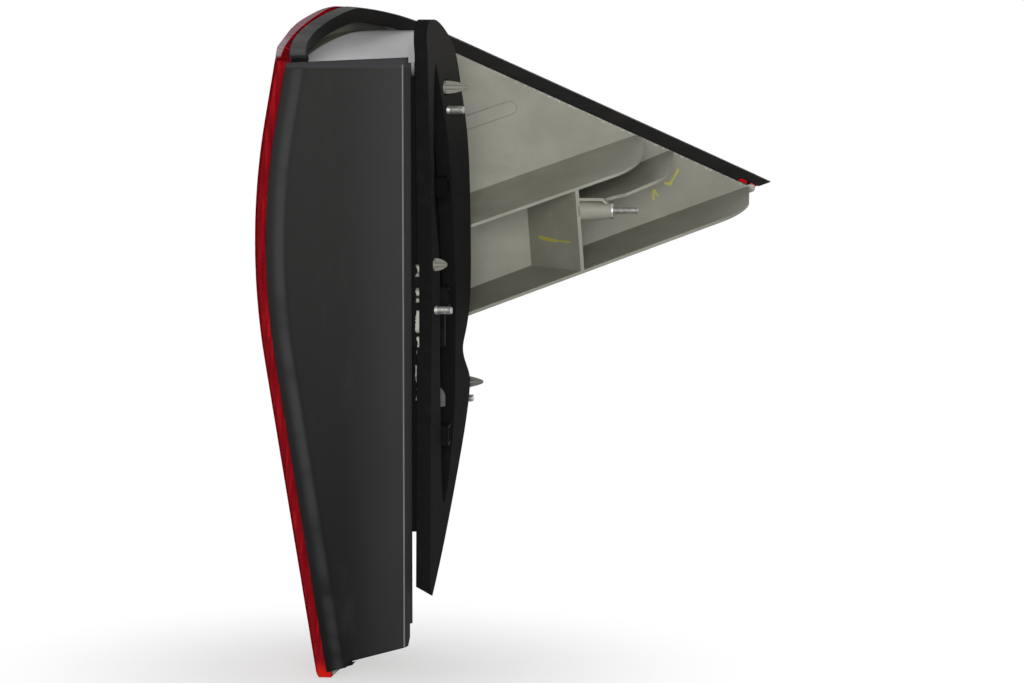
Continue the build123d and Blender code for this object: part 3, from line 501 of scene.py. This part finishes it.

# %% [markdown]
# ## The cover's edges
# The margin beside the lens is rolled over and gets a broken band of painted highlight, the top's
# bevel gets a painted highlight, and the front edge gets a thin pale painted highlight. Each is a mask
# at a set depth from the face, so it follows the edge.

# %% The cover's edges
COVER_FACE_Y = -22.5 * MM
COVER_TOP_Z = 174.6 * MM
MARGIN_X = -55 * MM

off_face = y - COVER_FACE_Y
margin = x.below(MARGIN_X, MARGIN_X + 5 * MM) * z.below(COVER_TOP_Z - 2 * MM, COVER_TOP_Z)
# Painted highlight along the rolled margin.
roll_highlight = off_face.step(0.0, 0.9 * MM) * off_face.below(1.2 * MM, 2.6 * MM) * margin
broken = satin.noise(50, 2.0, stretch=(0.3, 0.3, 1)).step(0.3, 0.6)
roll_highlight_share = 0.1 + z.step(-250 * MM, -50 * MM) * 0.3 + broken * 0.35
dark = satin.mix(roll_highlight * roll_highlight_share, dark, tone(64, 66, 65))
# Painted highlight on the top bevel.
bevel_highlight = z.step(COVER_TOP_Z - 0.6 * MM, COVER_TOP_Z + 0.4 * MM)
dark = satin.mix(bevel_highlight * 0.7, dark, tone(64, 63, 66))
off_front = x - COVER_FRONT_X
# Painted highlight along the front edge.
edge_highlight = off_front.step(-0.8 * MM, -0.4 * MM) * off_front.below(0.2 * MM, 0.6 * MM)
edge_highlight = edge_highlight * off_face.below(0.4 * MM, 0.8 * MM)
satin.colour(satin.mix(edge_highlight * (0.5 + smear * 0.5), dark, tone(140, 140, 140)))
satin.dress("inboard_cover")

# %% [markdown]
# ## Foam gasket
# The gasket and the block at the strip's end are closed-cell foam: nearly black, dull and full of
# tiny pores. A Voronoi pattern gives the pores. The gasket's front face gets a little painted light
# towards its top.

# %% Foam gasket
GASKET_FRONT = -2.5 * MM

foam = Finish("black foam", roughness=0.9, specular_ior_level=0.1)
x, y, z = foam.axes()
pores = foam.cells(1500)
dust = foam.noise(120, 5.0)
black = foam.mix(dust.step(0.5, 0.85) * 0.5, tone(19, 19, 19), tone(33, 32, 31))
front_face = (x - y * LAND_SLOPE).step(GASKET_FRONT, GASKET_FRONT + 1 * MM)
# Painted light towards the top of the front face.
top_light = front_face * z.step(100 * MM, 200 * MM)
foam.colour(foam.mix(top_light, black, tone(52, 51, 48)))
foam.relief(pores, 0.3 * MM, edge=0.9 * MM)
foam.dress("mounting_gasket", "strip_end_pad")

# %% [markdown]
# ## Seal strip
# The strip along the top edge is an extruded rubber with a soft sheen and fine lines along its
# length. Noise that is drawn out along X and Y, but not along Z, makes those lines without a map.

# %% Seal strip
strip = Finish("strip rubber", roughness=0.5, specular_ior_level=0.1)
line = strip.noise(300, 2.0, stretch=(0.06, 0.06, 1))
scuff = strip.noise(45, 4.0)
strip.colour(strip.mix(scuff.step(0.35, 0.8), tone(16, 15, 14), tone(28, 26, 25)))
strip.roughness(0.4 + line * 0.25)
strip.relief(line, 0.25 * MM, edge=1.2 * MM)
strip.dress("seal_strip")

# %% [markdown]
# ## Red lens
# The lens is one moulding in two shots. The red shot is deep red because light passes through it
# twice, and a grid of pillows spreads the bulbs' light. The pillows could be modelled one by one,
# but a product of two sines gives the whole grid as a bump, and the CAD mesh stays as it is.

# %% Red lens with pillows
LENS_INDEX = 1.49
PILLOW = 8 * MM

red = Finish(
    "red lens",
    roughness=0.12,
    transmission_weight=0.3,
    ior=LENS_INDEX,
    specular_ior_level=0.06,
    emission_strength=0.5,
)
forward, outboard, height = red.axes()
phase = math.pi / PILLOW
wave = ((forward + outboard) * phase).sine() * (height * phase).sine()
pillow = wave * wave * outboard.step(-16 * MM, -6 * MM)
flicker = red.noise(420, 2.0, stretch=(0.4, 0.4, 1.6))
deep = red.mix(pillow.step(0.0, 0.9), tone(130, 17, 25), tone(190, 19, 28))
deep = red.mix(flicker.step(0.5, 0.75) * 0.4, deep, tone(90, 4, 10))
print("pillows every", round(PILLOW / MM), "mm")

# %% [markdown]
# ## The lens's rim and corners
# The rim beside the cover is the thick edge of the lens, and upright streaks show in it. The upper
# rear corner is pale up to a curved line, and the lowest tip is a brighter red. Each could be a
# separate mesh with its own colour, but the lens is one moulding, so each is a mask.

# %% The lens's rim and corners
TOP_EDGE_Z = 184.5 * MM
TOP_EDGE_SLOPE = 0.316
STRIPE_X = -111.7 * MM
STRIPE_CURVE = 2.4
TIP_Z = -263 * MM

streak = red.noise(600, 3.0, stretch=(1, 1, 0.06))
on_rim = outboard.below(-10 * MM, 0.0)
deep = red.mix(streak.step(0.5, 0.7) * on_rim * 0.55, deep, tone(92, 8, 16))
deep = red.mix(streak.below(0.32, 0.46) * on_rim * 0.6, deep, tone(184, 26, 32))
top_edge = (height - outboard * TOP_EDGE_SLOPE - TOP_EDGE_Z).step(-4 * MM, -2 * MM)
stripe = (forward - STRIPE_X - outboard * outboard * STRIPE_CURVE).step(-0.6 * MM, 0.6 * MM)
pale = top_edge * (1 - stripe) * outboard.step(-12 * MM, -4 * MM)
pale = pale * (1 - outboard.step(20 * MM, 36 * MM) * 0.4)
deep = red.mix(pale * 0.95, deep, tone(206, 184, 194))
low_tip = height.below(TIP_Z, TIP_Z + 11 * MM) * outboard.below(0.0, 30 * MM)
deep = red.mix(low_tip, deep, tone(204, 32, 26))
red.colour(deep)
print("red lens mixed from", len(red.tree.nodes), "nodes")

# %% [markdown]
# ## Closed edges, and a glow at the wing's tip
# At the inboard rim and along the top edge almost nothing shows through the lens, so there a
# second, closed shader is mixed in by place. At the wing's tip, light that enters the outer face
# comes out of the edge. Rays could find that way through the lens, but only slowly and with noise,
# so the tip glows a little instead.

# %% Closed edges, and a glow at the wing's tip
RIM_Y = 40 * MM
WING_TOP_Z = 192.5 * MM
WING_FLARE = 0.214
INNER_FACE_Y = 158 * MM
GLOW_X = 207 * MM

ripple = red.relief(pillow, 0.5 * MM, edge=0.8 * MM)
rim = red.principled(roughness=0.3, specular_ior_level=0.0)
red.put(rim.inputs["Base Color"], deep)
red.put(rim.inputs["Normal"], ripple)
wing_edge = (height - forward * STRIP_SLOPE - WING_TOP_Z).step(-3 * MM, -1 * MM)
closed = outboard.below(RIM_Y, RIM_Y + 60 * MM).largest(top_edge).largest(wing_edge)
red.blend(closed, Field(red, rim.outputs[0]))
inner_face = (outboard - forward * WING_FLARE).below(INNER_FACE_Y, INNER_FACE_Y + 1 * MM)
glow = forward.step(GLOW_X, GLOW_X + 7 * MM) * inner_face
red.put(red.shader.inputs["Emission Color"], red.mix(glow, (0, 0, 0, 1), tone(215, 20, 26)))
red.dress("red_lens")

# %% [markdown]
# ## Clear window
# The second shot is a clear window for the reversing lamp. Upright flutes in it spread the light
# sideways. Like the pillows they are a sine, here of one coordinate only.

# %% Clear window
FLUTE = 6 * MM

clear = Finish("clear lens", roughness=0.03, transmission_weight=1.0, ior=LENS_INDEX)
flute = (clear.axis("Y") * (2 * math.pi / FLUTE)).sine()
clear.colour(clear.mix(clear.noise(40), tone(246, 240, 238), tone(252, 250, 250)))
clear.relief(flute, 0.25 * MM)
clear.dress("clear_lens")

# %% [markdown]
# ## Reflex panels
# Two red panels behind the lens send a following car's light straight back, from a honeycomb of
# small prisms. A Voronoi pattern gives cells of that size. The panels are only seen through the
# lens, so the prisms' exact corners aren't needed.

# %% Reflex panels
PRISMS_A_METRE = 330

reflex = Finish("red reflex", roughness=0.1, transmission_weight=0.3, ior=LENS_INDEX)
prisms = reflex.cells(PRISMS_A_METRE)
reflex.colour(reflex.mix(prisms.step(0.1, 0.7), tone(205, 20, 26), tone(120, 6, 12)))
reflex.relief(prisms, 1 * MM)
reflex.dress("rear_reflex", "side_reflex")

# %% [markdown]
# ## Metallised bezel
# The bezel behind the lens is plastic with a thin mirror coat of aluminium, drawn in fine upright
# ridges. Only the coat is seen, so the finish is a metal. A haze in its roughness keeps it from
# being a perfect mirror.

# %% Metallised bezel
RIDGE = 5 * MM

chrome = Finish("metallised bezel", metallic=1.0, roughness=0.12)
haze = chrome.noise(60, 3.0)
ridge = (chrome.axis("Y") * (2 * math.pi / RIDGE)).sine()
chrome.colour(chrome.mix(haze, tone(214, 214, 218), tone(232, 232, 234)))
chrome.roughness(0.08 + haze * 0.12)
chrome.relief(ridge, 0.2 * MM)
chrome.dress("reflector_bezel")

# %% [markdown]
# ## Zinc and brass
# The studs are zinc plated, so their shine is broken by a crystalline bloom. The bulb caps and
# blade terminals are brass with a tin wash. In both, one noise changes colour and roughness
# together, because the paler spots of plating are also the duller ones.

# %% Zinc and brass
steel = Finish("zinc plated steel", metallic=1.0, roughness=0.3)
bloom = steel.noise(420, 4.0)
steel.colour(steel.mix(bloom.step(0.35, 0.7), tone(150, 149, 145), tone(188, 188, 185)))
steel.roughness(0.36 + bloom * 0.2)
steel.dress("mounting_studs", "wing_stud")

brass = Finish("tinned brass", metallic=1.0, roughness=0.35)
tin = brass.noise(300)
brass.colour(brass.mix(tin, tone(190, 172, 120), tone(214, 200, 158)))
brass.roughness(0.25 + tin * 0.2)
brass.dress("bulb_bases", "socket_terminals")

# %% [markdown]
# ## Bulb sockets
# The bulb sockets are black nylon with a fine grain, rubbed a little paler and duller here and
# there. In the photograph the highest one stands in the gasket's shade, so the nylon darkens with
# height.

# %% Bulb sockets
nylon = Finish("socket nylon", roughness=0.55, specular_ior_level=0.03)
rub = nylon.noise(120, 3.0)
black = nylon.mix(rub.step(0.3, 0.8), tone(12, 12, 13), tone(26, 26, 27))
in_shade = nylon.axis("Z").step(30 * MM, 60 * MM)
nylon.colour(nylon.mix(in_shade * 0.8, black, tone(2, 2, 2)))
nylon.roughness(0.4 + rub * 0.25)
nylon.relief(nylon.noise(1500), 0.06 * MM, edge=0.6 * MM)
nylon.dress("reverse_socket", "stop_tail_socket", "turn_signal_socket")

# %% [markdown]
# ## Seals, elbow and bulbs
# The sockets' seals and the lens's bead are soft black rubber, and the breather elbow is a paler
# rubber. The bulbs are thin clear glass. CAD made them hollow, so plain refraction is enough for
# them.

# %% Seals, elbow and bulbs
rubber = Finish("seal rubber", roughness=0.8, specular_ior_level=0.2)
rubber.colour(rubber.mix(rubber.noise(200).step(0.3, 0.8), tone(16, 16, 17), tone(34, 34, 34)))
rubber.dress("reverse_socket_seal", "stop_tail_socket_seal", "turn_signal_socket_seal", "lens_bead")

elbow = Finish("elbow rubber", roughness=0.7)
elbow.colour(elbow.mix(elbow.noise(180), tone(72, 74, 72), tone(98, 100, 97)))
elbow.relief(elbow.noise(900), 0.1 * MM, edge=0.6 * MM)
elbow.dress("vent_elbow")

glass = Finish("bulb glass", roughness=0.0, transmission_weight=1.0, ior=1.45)
glass.colour(glass.mix(glass.noise(90), tone(250, 250, 250), tone(255, 255, 255)))
glass.dress("reverse_bulb", "stop_tail_bulb", "turn_signal_bulb")

# %% [markdown]
# ## Stud threads
# CAD has the studs as plain bars at the thread's outside size. A thread is a small V that turns
# about the stud while it moves along it, so one spin with a step along the axis makes it. A bump
# would be lighter, but a thread's outline shows against the light, and only a mesh gives that.

# %% A coil of thread
THREAD_STEPS = 24
THREAD_DEPTH = 0.54
RUN_UP = 1.5
EXTRA_TURNS = 2
WELD = 1e-6


def thread_coil(start, length, crest, pitch):
    """A coil of V-shaped thread along X that runs past both ends of its bar."""
    root = crest - THREAD_DEPTH * pitch
    profile = [(0.0, root), (0.12, root), (0.44, crest), (0.56, crest), (0.88, root), (1.0, root)]
    bm = bmesh.new()
    verts = []
    for share, radius in profile:
        verts.append(bm.verts.new((start.x + (share - RUN_UP) * pitch, start.y, start.z + radius)))
    edges = [bm.edges.new(pair) for pair in zip(verts, verts[1:])]
    turns = math.ceil(length / pitch) + EXTRA_TURNS
    bmesh.ops.spin(
        bm,
        geom=verts + edges,
        cent=start,
        axis=(1, 0, 0),
        dvec=(pitch / THREAD_STEPS, 0, 0),
        angle=2 * math.pi * turns,
        steps=THREAD_STEPS * turns,
    )
    bmesh.ops.remove_doubles(bm, verts=bm.verts, dist=WELD)
    return bm


# %% [markdown]
# ## Thread ends
# A real stud is cut square and has a short taper at its free end, which helps the nut to start. So
# the coil is cut at two planes, the open edge at the free end is drawn in, and both ends are
# closed.

# %% Thread ends
LEAD_IN = 0.9 * MM
TIP_SHARE = 0.78
ON_PLANE = 1e-7


def open_edges(bm):
    """The edges with a face on one side only."""
    return [edge for edge in bm.edges if edge.is_boundary]


def cut_square(bm, low_x, high_x):
    """Cut a bar off square at two places along X."""
    for x, side in ((low_x, -1), (high_x, 1)):
        bmesh.ops.bisect_plane(
            bm,
            geom=bm.verts[:] + bm.edges[:] + bm.faces[:],
            plane_co=(x, 0, 0),
            plane_no=(side, 0, 0),
            dist=ON_PLANE,
            clear_outer=True,
        )


def close_ends(bm, end):
    """Draw the free end in to a taper, then close both ends."""
    loop = [e for e in open_edges(bm) if all(abs(v.co.x - end.x) < WELD for v in e.verts)]
    tip = bmesh.ops.extrude_edge_only(bm, edges=loop)
    tip_verts = [v for v in tip["geom"] if isinstance(v, bmesh.types.BMVert)]
    narrower = (1, TIP_SHARE, TIP_SHARE)
    bmesh.ops.scale(bm, verts=tip_verts, vec=narrower, space=Matrix.Translation(-end))
    bmesh.ops.translate(bm, verts=tip_verts, vec=(LEAD_IN, 0, 0))
    bmesh.ops.holes_fill(bm, edges=open_edges(bm), sides=0)
    bmesh.ops.recalc_face_normals(bm, faces=bm.faces)


# %% [markdown]
# ## Bars and pieces
# Shoulders, flanges and lead wires are plain round bars, so one helper serves them all. A second
# helper turns a finished bmesh into an object that rides on the lamp and, if it stands for a CAD
# node, takes that node's place.

# %% Bars and pieces
BAR_SIDES = 40


def bar(bm, spot, x0, x1, radius):
    """A plain round bar along X between two places."""
    turn = Matrix.Translation(((x0 + x1) / 2, spot[1], spot[2])) @ Matrix.Rotation(math.pi / 2, 4, "Y")
    bmesh.ops.create_cone(
        bm,
        cap_ends=True,
        segments=BAR_SIDES,
        radius1=radius,
        radius2=radius,
        depth=x1 - x0,
        matrix=turn,
    )


def piece(name, bm, finish, slot, *replaced):
    """Turn a bmesh into an object that rides on the lamp."""
    mesh = bpy.data.meshes.new(name)
    bm.to_mesh(mesh)
    bm.free()
    made = bpy.data.objects.new(name, mesh)
    bpy.context.scene.collection.objects.link(made)
    mesh.materials.append(finish.material)
    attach(made, "root")
    if replaced:
        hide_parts(*replaced)
    print(name, len(mesh.polygons), "faces")


# %% [markdown]
# ## Mounting studs
# Three studs hold the lamp to the car. Each has a plain shoulder and a 6 mm thread. Their places,
# lengths and radii could be typed in again, but the part's record already has them as pin mounts,
# so they are read from there.

# %% Mounting studs
SHOULDER_RADIUS = 3.4 * MM
COARSE_PITCH = 1.0 * MM
# Where each stud's root and shoulder lie along X, in millimetres.
ROOTS = {"middle_stud": (-20.5, 0.0), "upper_stud": (-13.475, 7.025), "lower_stud": (-11.5, -1.3)}
stud_mounts = {mount["name"]: mount for mount in frame["record"]["mounts"] if mount["kind"] == "pin"}


def add_thread(bm, mount, x, pitch):
    """Join one threaded end to a stud."""
    start = Vector((x, *mount["pos_m"][1:]))
    length = mount["dims"]["length_mm"] * MM
    end = Vector((start.x + length, start.y, start.z))
    thread = thread_coil(start, length, mount["dims"]["r_mm"] * MM, pitch)
    cut_square(thread, start.x, end.x)
    close_ends(thread, end)
    mesh = bpy.data.meshes.new("thread")
    thread.to_mesh(mesh)
    thread.free()
    bm.from_mesh(mesh)
    bpy.data.meshes.remove(mesh)


bm = bmesh.new()
for name, (root, shoulder) in ROOTS.items():
    mount = stud_mounts[name]
    bar(bm, mount["pos_m"], root * MM, shoulder * MM, SHOULDER_RADIUS)
    add_thread(bm, mount, shoulder * MM, COARSE_PITCH)
piece("stud_threads", bm, steel, "stud_steel", "mounting_studs")

# %% [markdown]
# ## Wing stud
# The fourth stud stands on the wing's boss. It is thinner, has a finer thread and a flange that
# rests on the boss.

# %% Wing stud
FINE_PITCH = 0.8 * MM
FLANGE_RADIUS = 6.5 * MM
FLANGE_X = (120.5 * MM, 122.1 * MM)
WING_ROOT_X = 111.5 * MM

bm = bmesh.new()
mount = stud_mounts["wing_stud"]
bar(bm, mount["pos_m"], WING_ROOT_X, FLANGE_X[0], mount["dims"]["r_mm"] * MM)
bar(bm, mount["pos_m"], *FLANGE_X, FLANGE_RADIUS)
add_thread(bm, mount, FLANGE_X[1], FINE_PITCH)
piece("wing_stud_thread", bm, steel, "stud_steel", "wing_stud")

# %% [markdown]
# ## Filaments
# Each bulb has a tungsten coil between two lead wires. A curve with a bevel could make the coil
# too. Here a small ring of wire is spun about a cross axis while it moves along it, just as the
# threads were.

# %% Tungsten
tungsten = Finish("tungsten", metallic=1.0, roughness=0.4)
tungsten.colour(tungsten.mix(tungsten.noise(2000), tone(120, 118, 116), tone(168, 166, 164)))
print(tungsten.material.name, "for the coils and lead wires")

# %% Filaments
COIL_X = -70.0 * MM
LEAD_START_X = -50.0 * MM
LEAD_GAP = 3.2 * MM
LEAD_RADIUS = 0.35 * MM
COIL_RADIUS = 0.9 * MM
COIL_TURNS = 7
WIRE_RADIUS = 0.18 * MM
WIRE_SIDES = 8
# Y and Z of each bulb's axis, in millimetres.
BULBS = {"reverse": (14.0, 88.0), "stop_tail": (22.0, 8.0), "turn_signal": (20.5, -93.0)}

bm = bmesh.new()
for bulb_y, bulb_z in BULBS.values():
    centre = Vector((COIL_X, bulb_y * MM, bulb_z * MM))
    for side in (-1, 1):
        lead = centre + Vector((0, side * LEAD_GAP, 0))
        bar(bm, lead, COIL_X, LEAD_START_X, LEAD_RADIUS)
    spot = Matrix.Translation(centre + Vector((-COIL_RADIUS, -LEAD_GAP, 0)))
    ring = bmesh.ops.create_circle(bm, segments=WIRE_SIDES, radius=WIRE_RADIUS, matrix=spot)
    edges = list({edge for vert in ring["verts"] for edge in vert.link_edges})
    bmesh.ops.spin(
        bm,
        geom=ring["verts"] + edges,
        cent=centre,
        axis=(0, 1, 0),
        dvec=(0, 2 * LEAD_GAP / (COIL_TURNS * THREAD_STEPS), 0),
        angle=2 * math.pi * COIL_TURNS,
        steps=COIL_TURNS * THREAD_STEPS,
    )
bmesh.ops.holes_fill(bm, edges=open_edges(bm), sides=0)
bmesh.ops.recalc_face_normals(bm, faces=bm.faces)
piece("bulb_filaments", bm, tungsten, "bulb_metal")

# %% [markdown]
# ## Floor
# The photograph has a plain white ground, and the lamp stands a hair above it. One large square is
# enough, because its edge is far out of the picture.

# %% Floor
FLOOR_GAP = 1 * MM
FLOOR_HALF = 12
FLOOR_Z = cad_box[0][2] - FLOOR_GAP

floor_mesh = bpy.data.meshes.new("floor")
bm = bmesh.new()
bmesh.ops.create_grid(bm, x_segments=1, y_segments=1, size=FLOOR_HALF)
bmesh.ops.translate(bm, verts=bm.verts, vec=(0, 0, FLOOR_Z))
bm.to_mesh(floor_mesh)
bm.free()
floor = bpy.data.objects.new("floor", floor_mesh)
bpy.context.scene.collection.objects.link(floor)
print("floor at", round(FLOOR_Z, 4), "m")

# %% [markdown]
# ## White ground
# A white floor alone turns grey away from the lamps. So it is white paint near the part, where it
# takes the shadow, and shades into a plain white backdrop further out. Light that bounces about the
# room doesn't meet that backdrop, so it adds no light from below.

# %% White ground
FOOT = (-60 * MM, 20 * MM, FLOOR_Z)
NEAR_WHITE = 0.55
WHITE = (1, 1, 1, 1)


def seen_rays(graph):
    """1 for rays that the camera, a mirror or a lens sees."""
    camera_ray = graph.node("LightPath", output="Is Camera Ray")
    glossy_ray = graph.node("LightPath", output="Is Glossy Ray")
    lens_ray = graph.node("LightPath", output="Is Transmission Ray")
    return camera_ray.largest(glossy_ray).largest(lens_ray)


ground = Finish("white ground", roughness=0.9)
ground.colour(tone(250, 250, 250))
away = ground.vector("DISTANCE", ground.place(), FOOT, "Value")
whiteness = NEAR_WHITE + (1 - NEAR_WHITE) * away.step(20 * MM, 300 * MM)
plain_white = ground.node("Emission", None, {"Color": WHITE, "Strength": 1.0})
ground.blend(whiteness * seen_rays(ground), plain_white)
floor_mesh.materials.append(ground.material)
print("ground", NEAR_WHITE, "white at the part's foot")

# %% [markdown]
# ## World
# A pale room gives soft light from all sides. Less of it comes from above, because the tops of the
# ribs are in shade in the photograph. The camera, mirrors and lenses see the room as plain white.

# %% World
AMBIENT = 0.36
AMBIENT_ABOVE = 0.16

world = bpy.data.worlds.new("studio")
bpy.context.scene.world = world
world.use_nodes = True
sky = Graph(world.node_tree)
direction = sky.node("TexCoord", output="Generated")
overhead = sky.node("SeparateXYZ", None, {0: direction}, output="Z").step(0.2, 0.9)
fill = AMBIENT - overhead * (AMBIENT - AMBIENT_ABOVE)
strength = fill + seen_rays(sky) * (1 - fill)
backdrop = sky.node("Background", None, {"Color": WHITE, "Strength": strength})
sky.put(sky.tree.nodes.new("ShaderNodeOutputWorld").inputs[0], backdrop)
print("fill light", AMBIENT, "around and", AMBIENT_ABOVE, "overhead")

# %% [markdown]
# ## Lamps
# The photograph's light is frontal and soft: it fills the ribs' faces and leaves their tops in
# shade. One large square lamp near the camera gives that, and two weak ones lighten the lens and
# the far edge. The Standard view keeps the white ground white, where a filmic one would turn it
# grey.

# %% Lamps
AIM = Vector((50 * MM, 80 * MM, 0))


def softbox(name, place, size, power):
    """A square studio lamp that faces the object."""
    data = bpy.data.lights.new(name, "AREA")
    data.size = size
    data.energy = power
    lamp = bpy.data.objects.new(name, data)
    lamp.location = place
    lamp.rotation_mode = "QUATERNION"
    lamp.rotation_quaternion = (Vector(place) - AIM).to_track_quat("Z", "Y")
    bpy.context.scene.collection.objects.link(lamp)
    print(name, round((Vector(place) - AIM).length, 2), "m away")


softbox("key", place=(0.35, -2.3, 0.3), size=1.5, power=36)
softbox("side", place=(-1.9, -1.0, 0.4), size=1.2, power=5)
softbox("rim", place=(-0.8, 1.8, 1.2), size=1.2, power=5)
bpy.context.scene.view_settings.view_transform = "Standard"
